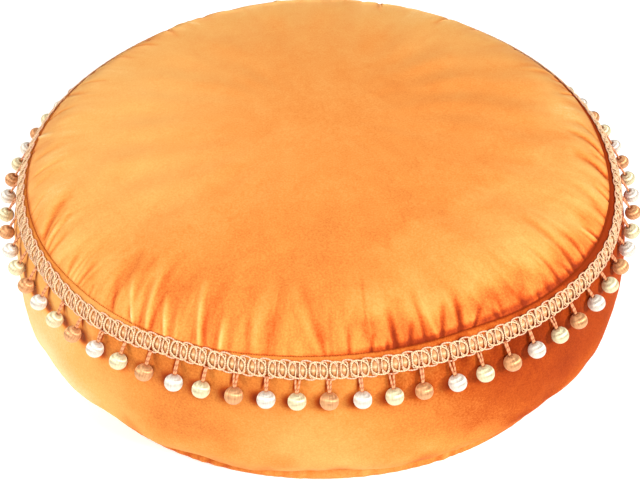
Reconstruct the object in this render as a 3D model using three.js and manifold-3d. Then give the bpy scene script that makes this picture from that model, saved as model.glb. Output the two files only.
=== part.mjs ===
// A round floor pouf: a stuffed velvet drum with a crowned, puckered top, a bulging wall and a
// gathered roll round its foot, and a woven braid with hanging beads sewn under the top seam.
// Units are millimetres and +Z is up. The pouf stands on z = 0, centred on the Z axis.

import * as THREE from "three";
import { mergeVertices } from "three/addons/utils/BufferGeometryUtils.js";
import Module from "manifold-3d";

// Driving dimensions
const TOP_SEAM_RADIUS = 234.5; // where the top panel is sewn to the wall
const TOP_SEAM_HEIGHT = 141;
const EDGE_PUFF = 16.5; // rise of the top panel's shoulder above its seam
const DOME_RISE = 7.5; // further rise to the middle of the top
const WALL_RADIUS = 260; // the wall at its widest
const WALL_HEIGHT = 47; // height of that widest place
const FOOT_SEAM_RADIUS = 237.5; // where the wall is sewn to the bottom panel
const FOOT_SEAM_HEIGHT = 10.5;
const FOOT_ROLL_RADIUS = 5.25; // the gathered roll that the pouf stands on
const FOOT_ROLL_CENTRE = 239;

const BRAID_TOP = 139.5; // heights between which the braid lies on the wall
const BRAID_BOTTOM = 128.5;
const BRAID_GAP = 0.35; // the braid's back above the velvet
const BRAID_EDGE = 1.1; // the braid's thickness at its edges and in the middle
const BRAID_CREST = 2.1;
const SCALLOP = 0.7; // how far the braid's loops swing its two edges

const BEAD_COUNT = 75;
const BEAD_RING_RADIUS = 255; // circle of the beads' centres
const BEAD_RING_HEIGHT = 118.3;
const BEAD_RADIUS = 6;
const FIRST_BEAD_ANGLE = 165.4; // degrees from +X

// The profile's curves: a power law for the shoulder, and superellipse powers for the wall
const SHOULDER_POWER = 14;
const UPPER_WALL_POWER = 1.6;
const LOWER_WALL_POWER = 1.38;

// How finely the pouf is divided round its axis
const SECTORS = 2 * BEAD_COUNT;
const STATIONS_PER_BEAD = 3; // two stations to each of the braid's loops
const BEAD_SIDES = 8;
const HANGER_SIDES = 4;

// Rows of points: the top panel's by share of the seam's radius, coarse in the middle and fine
// near the seam; the wall's by height; the foot roll's by angle round its own circle.
const INNER_CROWN_SHARES = [0.3, 0.55, 0.74];
const OUTER_CROWN_SHARES = [0.84, 0.91, 0.955, 0.985];
const WALL_HEIGHTS = [
  TOP_SEAM_HEIGHT,
  BRAID_TOP,
  BRAID_BOTTOM,
  BEAD_RING_HEIGHT,
  98,
  73,
  WALL_HEIGHT,
  36,
  26,
  18,
  13.5,
  FOOT_SEAM_HEIGHT,
];
const ROLL_ANGLES = [45, 0, -45, -90];

// A bead's rows: the distance down its axis and the half width, both as shares of its radius.
const BEAD_POLE = 0.92;
const BEAD_ROWS = [
  { at: 0.28, width: 0.76 },
  { at: BEAD_POLE, width: 1 },
  { at: 1.56, width: 0.76 },
];

// A hanging loop's rows: the share of its length, and its half width and half depth. It tapers
// from its roots in the braid to the bead, which it enters this share of the bead's radius deep.
const HANGER_ENTRY = 0.37;
const HANGER_ROWS = [
  { at: 0.05, across: 1.6, deep: 0.5 },
  { at: 0.95, across: 1, deep: 0.7 },
];
const HANGER_ROOT = 1; // how far above the braid's lower edge a loop starts

// Slow departures from a true circle: the number of waves round the pouf, and how far each
// swings the radius, as a share of it, with the cosine and the sine of the angle from +X.
const LOBES = [
  { waves: 2, cosine: 0.0095, sine: -0.0023 },
  { waves: 3, cosine: -0.0011, sine: -0.0135 },
];

// The main puckers that run in from the top seam: the angle at the seam and at the inner end,
// the inner end's radius as a share of the seam's, the width at the seam, and the depth.
const PUCKERS = [
  { seam: 5, inner: 15, reach: 0.8, width: 22, depth: 2.5 },
  { seam: 30, inner: 27, reach: 0.84, width: 22, depth: 2.5 },
  { seam: 52, inner: 50, reach: 0.86, width: 20, depth: 2.2 },
  { seam: 78, inner: 76, reach: 0.8, width: 24, depth: 2.8 },
  { seam: 103, inner: 105, reach: 0.85, width: 22, depth: 2.5 },
  { seam: 128, inner: 131, reach: 0.82, width: 22, depth: 2.5 },
  { seam: 150, inner: 153, reach: 0.86, width: 20, depth: 2.2 },
  { seam: 172, inner: 175, reach: 0.82, width: 22, depth: 2.5 },
  { seam: 193, inner: 191.5, reach: 0.84, width: 20, depth: 2.2 },
  { seam: 210.5, inner: 204, reach: 0.85, width: 22, depth: 3.1 },
  { seam: 224.5, inner: 224, reach: 0.88, width: 20, depth: 2.5 },
  { seam: 233, inner: 230.5, reach: 0.83, width: 24, depth: 2.8 },
  { seam: 241.5, inner: 237.5, reach: 0.8, width: 22, depth: 2.8 },
  { seam: 251.5, inner: 250, reach: 0.86, width: 20, depth: 2.2 },
  { seam: 269.5, inner: 265, reach: 0.76, width: 24, depth: 3.4 },
  { seam: 282, inner: 282, reach: 0.88, width: 20, depth: 2.5 },
  { seam: 293, inner: 295.5, reach: 0.88, width: 20, depth: 2.5 },
  { seam: 306.5, inner: 307, reach: 0.8, width: 22, depth: 2 },
  { seam: 318.5, inner: 321, reach: 0.73, width: 24, depth: 3.4 },
  { seam: 334, inner: 335, reach: 0.86, width: 20, depth: 2.2 },
  { seam: 344, inner: 347.5, reach: 0.84, width: 22, depth: 3.1 },
  { seam: 352, inner: 356.5, reach: 0.86, width: 22, depth: 3.1 },
];
const GATHER_DEPTH = 0.6; // the foot roll's gathers swing its radius by this much

const velvet = new THREE.MeshStandardMaterial({ color: 0xf08a2c, roughness: 0.75, metalness: 0 });
const braiding = new THREE.MeshStandardMaterial({ color: 0xeac79c, roughness: 0.5, metalness: 0 });

const wasm = await Module();
wasm.setup();

const radians = THREE.MathUtils.degToRad;

// A point at an angle round the axis, on the pouf's slightly uneven circle.
function place(angle, radius, height) {
  const swing = LOBES.reduce(
    (sum, { waves, cosine, sine }) =>
      sum + cosine * Math.cos(waves * angle) + sine * Math.sin(waves * angle),
    1,
  );
  return new THREE.Vector3(
    radius * swing * Math.cos(angle),
    radius * swing * Math.sin(angle),
    height,
  );
}

// The wall's radius at a height: it bulges from the top seam to its widest, and in again below.
function wallRadius(height) {
  const upper = height > WALL_HEIGHT;
  const [seamRadius, seamHeight, power] = upper
    ? [TOP_SEAM_RADIUS, TOP_SEAM_HEIGHT, UPPER_WALL_POWER]
    : [FOOT_SEAM_RADIUS, FOOT_SEAM_HEIGHT, LOWER_WALL_POWER];
  const rise = Math.min(1, (height - WALL_HEIGHT) / (seamHeight - WALL_HEIGHT));
  return seamRadius + (WALL_RADIUS - seamRadius) * (1 - rise ** power) ** (1 / power);
}

function crownHeight(share) {
  return (
    TOP_SEAM_HEIGHT + EDGE_PUFF * (1 - share ** SHOULDER_POWER) + DOME_RISE * (1 - share ** 2)
  );
}

// How deep the puckers press the top panel in at an angle and a share of the seam's radius.
function puckerDepth(angle, share) {
  return PUCKERS.reduce((deepest, { seam, inner, reach, width, depth }) => {
    const along = (1 - share) / (1 - reach);
    if (along >= 1) return deepest;
    const middle = radians(seam + (inner - seam) * along);
    const turn = THREE.MathUtils.euclideanModulo(angle - middle + Math.PI, 2 * Math.PI) - Math.PI;
    const across = Math.abs(turn * share * TOP_SEAM_RADIUS) / (width / 2);
    if (across >= 1) return deepest;
    return Math.max(deepest, depth * (1 - along) ** 2 * Math.cos((across * Math.PI) / 2) ** 2);
  }, 0);
}

// A closed skin of rings stacked from the top down, closed by a pole at each end. A ring may
// have half as many points as the next one.
function stackedSkin(rings, topPole, bottomPole) {
  const points = [topPole, ...rings.flat(), bottomPole];
  const starts = [];
  rings.reduce((start, ring) => {
    starts.push(start);
    return start + ring.length;
  }, 1);
  const index = [];
  const at = (row, i) => starts[row] + (i % rings[row].length);
  rings[0].forEach((_, i) => index.push(0, at(0, i), at(0, i + 1)));
  for (let row = 0; row + 1 < rings.length; row++) {
    const half = rings[row + 1].length === 2 * rings[row].length;
    rings[row].forEach((_, i) => {
      if (half) {
        index.push(at(row, i), at(row + 1, 2 * i), at(row + 1, 2 * i + 1));
        index.push(at(row, i), at(row + 1, 2 * i + 1), at(row, i + 1));
        index.push(at(row, i + 1), at(row + 1, 2 * i + 1), at(row + 1, 2 * i + 2));
      } else {
        index.push(at(row, i), at(row + 1, i), at(row + 1, i + 1));
        index.push(at(row, i), at(row + 1, i + 1), at(row, i + 1));
      }
    });
  }
  const last = rings.length - 1;
  rings[last].forEach((_, i) => index.push(points.length - 1, at(last, i + 1), at(last, i)));
  return { points, index };
}

function geometryOf({ points, index }) {
  const geometry = new THREE.BufferGeometry().setFromPoints(points);
  geometry.setIndex(index);
  geometry.computeVertexNormals();
  return geometry;
}

function ringOf(count, pointAt) {
  return Array.from({ length: count }, (_, i) => pointAt((2 * Math.PI * i) / count, i));
}

// The velvet body: top panel, wall and bottom panel in one filled form.
function bodySkin() {
  const crownRing = (share, count) =>
    ringOf(count, (angle) =>
      place(
        angle,
        share * TOP_SEAM_RADIUS,
        crownHeight(share) - puckerDepth(angle, share),
      ),
    );
  const wallRing = (height) =>
    ringOf(SECTORS, (angle) => place(angle, wallRadius(height), height));
  const rollRing = (degrees) =>
    ringOf(SECTORS, (angle, i) => {
      const gather = GATHER_DEPTH * Math.cos(radians(degrees)) * (i % 2 ? -1 : 1);
      return place(
        angle,
        FOOT_ROLL_CENTRE + FOOT_ROLL_RADIUS * Math.cos(radians(degrees)) + gather,
        FOOT_ROLL_RADIUS * (1 + Math.sin(radians(degrees))),
      );
    });
  const rings = [
    ...INNER_CROWN_SHARES.map((share) => crownRing(share, SECTORS / 2)),
    ...OUTER_CROWN_SHARES.map((share) => crownRing(share, SECTORS)),
    ...WALL_HEIGHTS.map(wallRing),
    ...ROLL_ANGLES.map(rollRing),
  ];
  return stackedSkin(
    rings,
    new THREE.Vector3(0, 0, crownHeight(0)),
    new THREE.Vector3(0, 0, 0),
  );
}

// The braid's seat is the flat of the wall between its two edges: a point on it, given by the
// distance down from the top edge and the height above the velvet, as a radius and a height.
const seatTop = new THREE.Vector2(wallRadius(BRAID_TOP), BRAID_TOP);
const seatBottom = new THREE.Vector2(wallRadius(BRAID_BOTTOM), BRAID_BOTTOM);
const seatDown = seatBottom.clone().sub(seatTop).normalize();
const seatOut = new THREE.Vector2(-seatDown.y, seatDown.x);
const seatLength = seatTop.distanceTo(seatBottom);

function onSeat(down, out) {
  return seatTop.clone().addScaledVector(seatDown, down).addScaledVector(seatOut, out);
}

// The braid: a closed band of five-sided sections, its edges swung in and out by its loops.
function braidSkin() {
  const stations = BEAD_COUNT * STATIONS_PER_BEAD;
  const sections = ringOf(stations, (angle, i) => {
    const swing = SCALLOP * (i % 2 ? -1 : 1);
    const bottom = seatLength + swing;
    return [
      onSeat(-swing, BRAID_GAP),
      onSeat(bottom, BRAID_GAP),
      onSeat(bottom, BRAID_GAP + BRAID_EDGE),
      onSeat(seatLength / 2, BRAID_GAP + BRAID_CREST),
      onSeat(-swing, BRAID_GAP + BRAID_EDGE),
    ].map(({ x, y }) => place(angle, x, y));
  });
  const sides = sections[0].length;
  const index = [];
  sections.forEach((_, i) => {
    const here = i * sides;
    const next = ((i + 1) % stations) * sides;
    for (let k = 0; k < sides; k++) {
      const after = (k + 1) % sides;
      index.push(here + k, next + k, next + after);
      index.push(here + k, next + after, here + after);
    }
  });
  return { points: sections.flat(), index };
}

// A spindle turned about the line from one end to the other: rows of { at, across, deep } give
// the distance along it and its half width along the side vector and square to it.
function spindleSkin(start, end, side, rows, sides) {
  const axis = end.clone().sub(start).normalize();
  const depth = new THREE.Vector3().crossVectors(axis, side).normalize();
  const along = (distance) => start.clone().addScaledVector(axis, distance);
  const rings = rows.map(({ at, across, deep }) =>
    ringOf(sides, (angle) =>
      along(at)
        .addScaledVector(side, -across * Math.cos(angle))
        .addScaledVector(depth, deep * Math.sin(angle)),
    ),
  );
  return stackedSkin(rings, start, end);
}

// Several separate skins as one list of points and triangles.
function gathered(skins) {
  const points = skins.flatMap((skin) => skin.points);
  let start = 0;
  const index = skins.flatMap((skin) => {
    const shifted = skin.index.map((i) => i + start);
    start += skin.points.length;
    return shifted;
  });
  return { points, index };
}

function solidOf(skin) {
  const geometry = geometryOf(skin);
  geometry.deleteAttribute("normal");
  const merged = mergeVertices(geometry);
  return new wasm.Manifold(
    new wasm.Mesh({
      numProp: 3,
      vertProperties: merged.attributes.position.array,
      triVerts: new Uint32Array(merged.index.array),
    }),
  );
}

function geometryOfSolid(solid) {
  const { vertProperties, triVerts } = solid.getMesh();
  const geometry = new THREE.BufferGeometry();
  geometry.setAttribute("position", new THREE.BufferAttribute(vertProperties, 3));
  geometry.setIndex(new THREE.BufferAttribute(triVerts, 1));
  geometry.computeVertexNormals();
  return geometry;
}

// Each bead hangs on a short loop of cord from the braid's lower edge, and its own axis lies
// along that loop.
function hangingBeads() {
  const root = onSeat(seatLength - HANGER_ROOT, BRAID_GAP + BRAID_EDGE / 2);
  const hangers = [];
  const beads = [];
  for (let i = 0; i < BEAD_COUNT; i++) {
    const angle = radians(FIRST_BEAD_ANGLE) + (2 * Math.PI * i) / BEAD_COUNT;
    const side = new THREE.Vector3(-Math.sin(angle), Math.cos(angle), 0);
    const centre = place(angle, BEAD_RING_RADIUS, BEAD_RING_HEIGHT);
    const top = place(angle, root.x, root.y);
    const up = top.clone().sub(centre).normalize();
    const onAxis = (distance) => centre.clone().addScaledVector(up, distance);
    const pole = BEAD_POLE * BEAD_RADIUS;
    const beadRows = BEAD_ROWS.map(({ at, width }) => ({
      at: at * BEAD_RADIUS,
      across: width * BEAD_RADIUS,
      deep: width * BEAD_RADIUS,
    }));
    beads.push(spindleSkin(onAxis(pole), onAxis(-pole), side, beadRows, BEAD_SIDES));
    const end = onAxis(pole - HANGER_ENTRY * BEAD_RADIUS);
    const length = top.distanceTo(end);
    const hangerRows = HANGER_ROWS.map((row) => ({ ...row, at: row.at * length }));
    hangers.push(spindleSkin(top, end, side, hangerRows, HANGER_SIDES));
  }
  return { hangers, beads };
}

function beadTrim() {
  const { hangers, beads } = hangingBeads();
  return solidOf(braidSkin())
    .add(solidOf(gathered(hangers)))
    .add(solidOf(gathered(beads)));
}

function mesh(name, geometry, material) {
  const made = new THREE.Mesh(geometry, material);
  made.name = name;
  return made;
}

const pouf = new THREE.Group();
pouf.add(mesh("pouf_body", geometryOf(bodySkin()), velvet));
pouf.add(mesh("bead_trim", geometryOfSolid(beadTrim()), braiding));

// The uneven outline is centred on the Z axis.
const middle = new THREE.Box3().setFromObject(pouf).getCenter(new THREE.Vector3());
pouf.position.set(-middle.x, -middle.y, 0);

export default pouf;
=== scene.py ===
import math
from functools import partial

import bpy
import numpy as np
from mathutils import Matrix, Vector


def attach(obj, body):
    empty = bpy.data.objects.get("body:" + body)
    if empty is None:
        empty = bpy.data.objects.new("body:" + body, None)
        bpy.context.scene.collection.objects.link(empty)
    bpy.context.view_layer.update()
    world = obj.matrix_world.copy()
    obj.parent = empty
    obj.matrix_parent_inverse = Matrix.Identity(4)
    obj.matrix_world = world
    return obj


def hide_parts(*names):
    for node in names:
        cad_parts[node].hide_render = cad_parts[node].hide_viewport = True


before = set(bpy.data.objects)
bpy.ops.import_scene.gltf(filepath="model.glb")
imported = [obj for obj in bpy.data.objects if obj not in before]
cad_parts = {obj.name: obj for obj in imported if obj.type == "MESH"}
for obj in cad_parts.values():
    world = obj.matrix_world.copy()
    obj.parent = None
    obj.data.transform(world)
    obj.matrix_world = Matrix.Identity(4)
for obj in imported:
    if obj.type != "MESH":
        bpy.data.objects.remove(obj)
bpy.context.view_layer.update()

# Sizes in millimetres and angles in radians where not said otherwise, as the part's source has
# them. They are turned into metres where a mesh is made.
MM = 0.001
SHIFT = np.array([0.143, -3.393, 0.0])  # from the middle of the lobed circle to the frame's origin
TOP_SEAM_RADIUS, TOP_SEAM_HEIGHT = 234.5, 141.0
EDGE_PUFF, DOME_RISE, SHOULDER_POWER = 16.5, 7.5, 14
WALL_RADIUS, WALL_HEIGHT = 260.0, 47.0
UPPER_WALL_POWER, LOWER_WALL_POWER = 1.6, 1.38
FOOT_SEAM_RADIUS, FOOT_SEAM_HEIGHT = 237.5, 10.5
FOOT_ROLL_RADIUS, FOOT_ROLL_CENTRE = 5.25, 239.0
FOOT_ROLL_START, FOOT_ROLL_TURN = 80, -90  # degrees round the roll's own middle
BEAD_COUNT, BEAD_RADIUS = 75, 6.0
BEAD_RING_RADIUS, BEAD_RING_HEIGHT = 255.0, 118.3
BEAD_FOOT_HEIGHT = 116.3  # of the wall's nearest point to a bead's middle
FIRST_BEAD_ANGLE = math.radians(165.4)
RINGS_PER_BEAD = 1.5

# Slow departures from a true circle: the waves round the pouf, and how far the cosine and the sine
# of the angle from +X swing the radius, as shares of it.
LOBES = ((2, 0.0095, -0.0023), (3, -0.0011, -0.0135))
# How many points draw each part of the section.
CROWN_POINTS, WALL_POINTS, ROLL_POINTS, UNDER_POINTS = 700, 500, 60, 300

rng = np.random.default_rng(7)


def named_rows(columns, rows):
    """A table's rows, each value under its column's name."""
    return [dict(zip(columns, row)) for row in rows]


# The pouf's form: a lobed circle, and one section that is swept round it.
def lobes(theta):
    total = 1
    for waves, cosine, sine in LOBES:
        total = total + cosine * np.cos(waves * theta) + sine * np.sin(waves * theta)
    return total


def bulge(radius, height, power, out, up):
    """The wall from its widest to a seam, by shares of the way out and of the way up or down."""
    r = radius + (WALL_RADIUS - radius) * out ** (2 / power)
    return np.stack([r, WALL_HEIGHT + (height - WALL_HEIGHT) * up ** (2 / power)], 1)


def profile():
    """The section's parts from the middle of the top to the middle of the underside, each a list
    of radii and heights."""
    share = np.sin(np.linspace(0, math.pi / 2, CROWN_POINTS))
    puff = EDGE_PUFF * (1 - share**SHOULDER_POWER) + DOME_RISE * (1 - share**2)
    t = np.linspace(0, math.pi / 2, WALL_POINTS)[1:]
    sine, cosine = np.sin(t), np.abs(np.cos(t))
    a = np.linspace(math.radians(FOOT_ROLL_START), math.radians(FOOT_ROLL_TURN), ROLL_POINTS)
    roll_r = FOOT_ROLL_CENTRE + FOOT_ROLL_RADIUS * np.cos(a)
    under_r = np.linspace(FOOT_ROLL_CENTRE, 0, UNDER_POINTS)[1:]
    return [
        np.stack([share * TOP_SEAM_RADIUS, TOP_SEAM_HEIGHT + puff], 1),
        bulge(TOP_SEAM_RADIUS, TOP_SEAM_HEIGHT, UPPER_WALL_POWER, sine, cosine),
        bulge(FOOT_SEAM_RADIUS, FOOT_SEAM_HEIGHT, LOWER_WALL_POWER, cosine, sine),
        np.stack([roll_r, FOOT_ROLL_RADIUS * (1 + np.sin(a))], 1),
        np.stack([under_r, 0 * under_r], 1),
    ]


PARTS = profile()
PROFILE = np.concatenate(PARTS)
ARC = np.concatenate([[0], np.cumsum(np.hypot(*np.diff(PROFILE, axis=0).T))])
LAST = np.cumsum([len(part) for part in PARTS]) - 1  # where each part ends
SEAM_ARC = ARC[LAST[0]]
FOOT_SEAM = ARC[LAST[2]] - SEAM_ARC  # arc lengths from the top seam
ROLL_END = ARC[LAST[3]] - SEAM_ARC
UNDER_END = ARC[-1] - SEAM_ARC


def section(s):
    """Radius, height and outward normal at arc length s from the top seam (negative on top)."""
    at = np.asarray(s) + SEAM_ARC
    reach = 0.8  # to either side, between which the slope is taken
    r, z = np.interp(at, ARC, PROFILE[:, 0]), np.interp(at, ARC, PROFILE[:, 1])
    dr, dz = (
        np.interp(at + reach, ARC, PROFILE[:, k]) - np.interp(at - reach, ARC, PROFILE[:, k])
        for k in (0, 1)
    )
    length = np.hypot(dr, dz) + 1e-9
    return r, z, -dz / length, dr / length


def surface(theta, s, h):
    """The point h above the velvet's smooth form, at an angle and an arc length from the seam."""
    r, z, nr, nz = section(s)
    r, z = r + h * nr, z + h * nz
    w = lobes(theta)
    return np.stack([r * w * np.cos(theta), r * w * np.sin(theta), z + 0 * w], -1) + SHIFT


def normals_at(theta, s):
    _, _, nr, nz = section(s)
    return np.stack([nr * np.cos(theta), nr * np.sin(theta), nz + 0 * theta], -1)


def angles_round(count):
    return 2 * np.pi * np.arange(count) / count


def bell(x):
    return np.exp(-(x**2))


def bump_at(s, height, middle, half_width):
    return height * bell((s - middle) / half_width)


def step_up(x):
    """0 below 0 and 1 above 1, with a smooth rise between."""
    x = np.clip(x, 0, 1)
    return x * x * (3 - 2 * x)


def seen_angle(theta):
    """Degrees round the pouf from its left (-X) through its front (-Y)."""
    return (np.degrees(theta) - 180) % 360


def turn_between(a, b):
    """Degrees from b to a, the short way round."""
    return (a - b + 180) % 360 - 180


def softened(values):
    """Values round the pouf, each mixed with its two neighbours."""
    return 0.25 * np.roll(values, 1) + 0.5 * values + 0.25 * np.roll(values, -1)


def smooth_round(knots, times=8):
    """A value for each degree round the pouf, drawn smoothly through (seen angle, value) knots."""
    angles, values = np.array(knots, float).T
    drawn = np.interp(np.arange(360), angles, values, period=360)
    for _ in range(times):
        drawn = softened(drawn)
    return np.append(drawn, drawn[0])


def at_angle(drawn, theta):
    return np.interp(seen_angle(theta), np.arange(361), drawn)


# How far the seam and the middle of the braid lie below the form's own edge, read from the
# photograph between 0 and 180 degrees.
SEAM_PATH = smooth_round((
    (0, -1.5), (10, -1.5), (20, -1.2), (30, -0.7), (40, -0.3), (45, 0.2), (50, 1.2), (55, 2.1),
    (60, 3.2), (72, 3.0), (78, 2.2), (84, 1.2), (90, 0.7), (96, 0.1), (105, -0.5), (110, -1.1),
    (115, -1.8), (119, -0.8), (123, 0.0), (128, 0.7), (134, 1.0), (140, 1.4), (145, 1.6),
    (150, 0.9), (155, -0.4), (160, -2.0), (165, -4.2), (170, -6.3), (176, -7.6), (184, -6.6),
    (200, -2.0), (225, 0.0), (250, 1.0), (275, -0.5), (300, -1.0), (330, 0.5), (350, -1.0),
))
BRAID_PATH = smooth_round((
    (0, 6.2), (10, 6.6), (20, 7.4), (30, 8.0), (36, 8.2), (41, 9.7), (46, 11.1), (51, 11.5),
    (56, 11.0), (61, 9.4), (66, 8.6), (71, 9.2), (76, 10.0), (92, 10.2), (100, 9.8), (106, 9.3),
    (112, 9.3), (118, 9.7), (125, 10.1), (132, 10.8), (138, 11.6), (144, 12.9), (150, 12.8),
    (155, 11.2), (160, 8.6), (165, 6.2), (170, 4.2), (176, 3.2), (184, 4.0), (200, 7.5),
    (225, 9.5), (260, 10.2), (300, 9.2), (330, 9.8), (350, 7.5),
))


# Meshes
def scene_object(name, data):
    made = bpy.data.objects.new(name, data)
    bpy.context.scene.collection.objects.link(made)
    return made


def mesh_from(name, points, faces, material, uv=None):
    mesh = bpy.data.meshes.new(name)
    mesh.from_pydata((np.asarray(points) * MM).tolist(), [], [tuple(f) for f in faces])
    mesh.polygons.foreach_set("use_smooth", np.ones(len(mesh.polygons), bool))
    if uv is not None:
        layer = mesh.uv_layers.new(name="along")
        layer.data.foreach_set("uv", np.asarray(uv, np.float32).ravel())
    mesh.materials.append(material)
    mesh.update()
    return scene_object(name, mesh)


def tubes(paths, normals, radius, sides, closed):
    """Tubes along several paths at once: points, quads and a UV of (around, along) per corner."""
    n, m, _ = paths.shape
    if closed:
        tangent = np.roll(paths, -1, 1) - np.roll(paths, 1, 1)
    else:
        tangent = np.gradient(paths, axis=1)
    tangent /= np.linalg.norm(tangent, axis=2, keepdims=True)
    side = np.cross(tangent, normals)
    side /= np.linalg.norm(side, axis=2, keepdims=True)
    up = np.cross(side, tangent)
    a = angles_round(sides)
    width = np.broadcast_to(radius, (n, m))[:, :, None, None]
    ring = side[:, :, None] * np.cos(a)[:, None] + up[:, :, None] * np.sin(a)[:, None]
    points = (paths[:, :, None] + width * ring).reshape(-1, 3)
    rows = m if closed else m - 1
    i, j, k = np.meshgrid(np.arange(n), np.arange(rows), np.arange(sides), indexing="ij")
    j1, k1 = (j + 1) % m, (k + 1) % sides
    here, next_row = (i * m + j) * sides, (i * m + j1) * sides
    faces = np.stack([here + k, here + k1, next_row + k1, next_row + k], -1).reshape(-1, 4)
    u0, u1, v0, v1 = k / sides, (k + 1) / sides, j / rows, (j + 1) / rows
    uv = np.stack([u0, v0, u1, v0, u1, v1, u0, v1], -1).reshape(-1, 2)
    if closed:
        return points, faces.tolist(), uv
    heads = np.arange(n)[:, None] * m * sides + np.arange(sides)[None]
    tails = heads + (m - 1) * sides
    caps = np.concatenate([heads[:, ::-1], tails])
    uv = np.concatenate([uv, np.zeros((caps.size, 2))])
    return points, [*faces.tolist(), *caps.tolist()], uv


def cord_piece(name, material, paths, normals, radius, sides, closed=False):
    points, faces, uv = tubes(paths, normals, radius, sides, closed)
    return mesh_from(name, points, faces, material, uv)


def joined(parts):
    """Several (points, faces, uv) as one."""
    points, faces, uvs, start = [], [], [], 0
    for part_points, part_faces, part_uv in parts:
        points.append(part_points)
        faces += [[v + start for v in face] for face in part_faces]
        uvs.append(part_uv)
        start += len(part_points)
    return np.concatenate(points), faces, np.concatenate(uvs)


def rows_between(bands):
    """(arc length, count of points) for each row of a skin, from (from, to, step, count) bands."""
    rows = []
    for low, high, step, count in bands:
        n = max(1, round((high - low) / step))
        rows += [(low + (high - low) * i / n, count) for i in range(n)]
    return rows


def skin_faces(rows):
    """Faces between rows of points, where a row has as many, twice or half as many points as the
    one before. The first point is a middle, that the first row closes on."""
    first = rows[0][1]
    faces = [(0, 1 + a, 1 + (a + 1) % first) for a in range(first)]
    a = 1
    for (_, na), (_, nb) in zip(rows[:-1], rows[1:]):
        b = a + na
        i = np.arange(min(na, nb))
        j = (i + 1) % min(na, nb)
        if na == nb:
            faces += np.stack([a + i, b + i, b + j, a + j], 1).tolist()
        else:
            coarse, fine, many = (a, b, nb) if nb > na else (b, a, na)
            near, middle, far = (fine + (2 * i + k) % many for k in range(3))
            c, d = coarse + i, coarse + j
            for x, y, z in ((c, near, middle), (c, middle, d), (d, middle, far)):
                faces += np.stack([x, y, z] if nb > na else [x, z, y], 1).tolist()
        a = b
    return faces


# Materials
def put(tree, socket, value):
    """Gives a socket a value, or links another node's output to it."""
    if isinstance(value, bpy.types.NodeSocket):
        tree.links.new(value, socket)
    else:
        socket.default_value = value


def fill(tree, made, values):
    for name, value in values.items():
        put(tree, made.inputs[name], value)


def node(tree, kind, **values):
    """A node with its named sockets filled, and any other name set on it."""
    made = tree.nodes.new(kind)
    for key, value in values.items():
        if key in made.inputs:
            put(tree, made.inputs[key], value)
        else:
            setattr(made, key, value)
    return made


def calculate(tree, operation, *terms, kind="ShaderNodeMath", **values):
    """A maths node's result, whose terms are values or other nodes' outputs."""
    made = node(tree, kind, operation=operation, **values)
    for socket, term in zip(made.inputs, terms):
        put(tree, socket, term)
    return made.outputs["Value" if operation == "LENGTH" else 0]


def noise(tree, vector, scale, detail, **values):
    made = node(tree, "ShaderNodeTexNoise", Vector=vector, Scale=scale, Detail=detail, **values)
    return made.outputs["Fac"]


def raised(tree, height, strength, depth):
    """The normal of a surface that a height raises, with its depth in metres."""
    bump = node(tree, "ShaderNodeBump", Strength=strength, Distance=depth, Height=height)
    return bump.outputs["Normal"]


def new_material(name):
    material = bpy.data.materials.new(name)
    material.use_nodes = True
    tree = material.node_tree
    return material, tree, tree.nodes["Principled BSDF"]


def ramp(tree, stops, fac):
    """A colour ramp through (position, colour) stops."""
    made = node(tree, "ShaderNodeValToRGB", Fac=fac)
    elements = made.color_ramp.elements
    while len(elements) > 1:
        elements.remove(elements[-1])
    elements[0].position, elements[0].color = stops[0][0], (*stops[0][1], 1)
    for position, colour in stops[1:]:
        elements.new(position).color = (*colour, 1)
    return made.outputs["Color"]


TONE_REACH = 2.0  # tones run from minus to plus this
PALE_TONES = (
    (1.0, (0.84, 0.425, 0.120)),
    (2.0, (0.93, 0.680, 0.360)),
)
TOP_TONES = (
    (-2.0, (0.26, 0.026, 0.003)),
    (-1.5, (0.41, 0.050, 0.006)),
    (-1.0, (0.55, 0.090, 0.011)),
    (0.0, (0.78, 0.262, 0.050)),
    *PALE_TONES,
)
WALL_TONES = (
    (-2.0, (0.235, 0.026, 0.003)),
    (-1.5, (0.365, 0.050, 0.006)),
    (-1.0, (0.49, 0.090, 0.011)),
    (0.0, (0.76, 0.262, 0.050)),
    *PALE_TONES,
)

# Painted shadow on the wall's pile: behind each bead, and beside its loop. Half width, half height
# and middle's height over the bead's foot in millimetres, the share of the way aside that it takes
# and how that grows with the height, and how much it darkens.
SHADE = ("half_width", "half_height", "height", "share", "slant", "amount")
BEAD_SHADES = named_rows(SHADE, (
    (5.8, 5.6, -5.2, 1.15, 0.0, 1.35),
    (1.2, 6.0, 8.5, 0.9, -0.05, 1.2),
))
# How far aside the shade lies, in millimetres: least, then (slope, start) against the place across
# the pouf in metres for its front and for its left side.
ASIDE_LEAST = -5.5
ASIDE_FRONT = (40.0, -3.3)
ASIDE_LEFT = (-140.0, -22.4)


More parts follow.
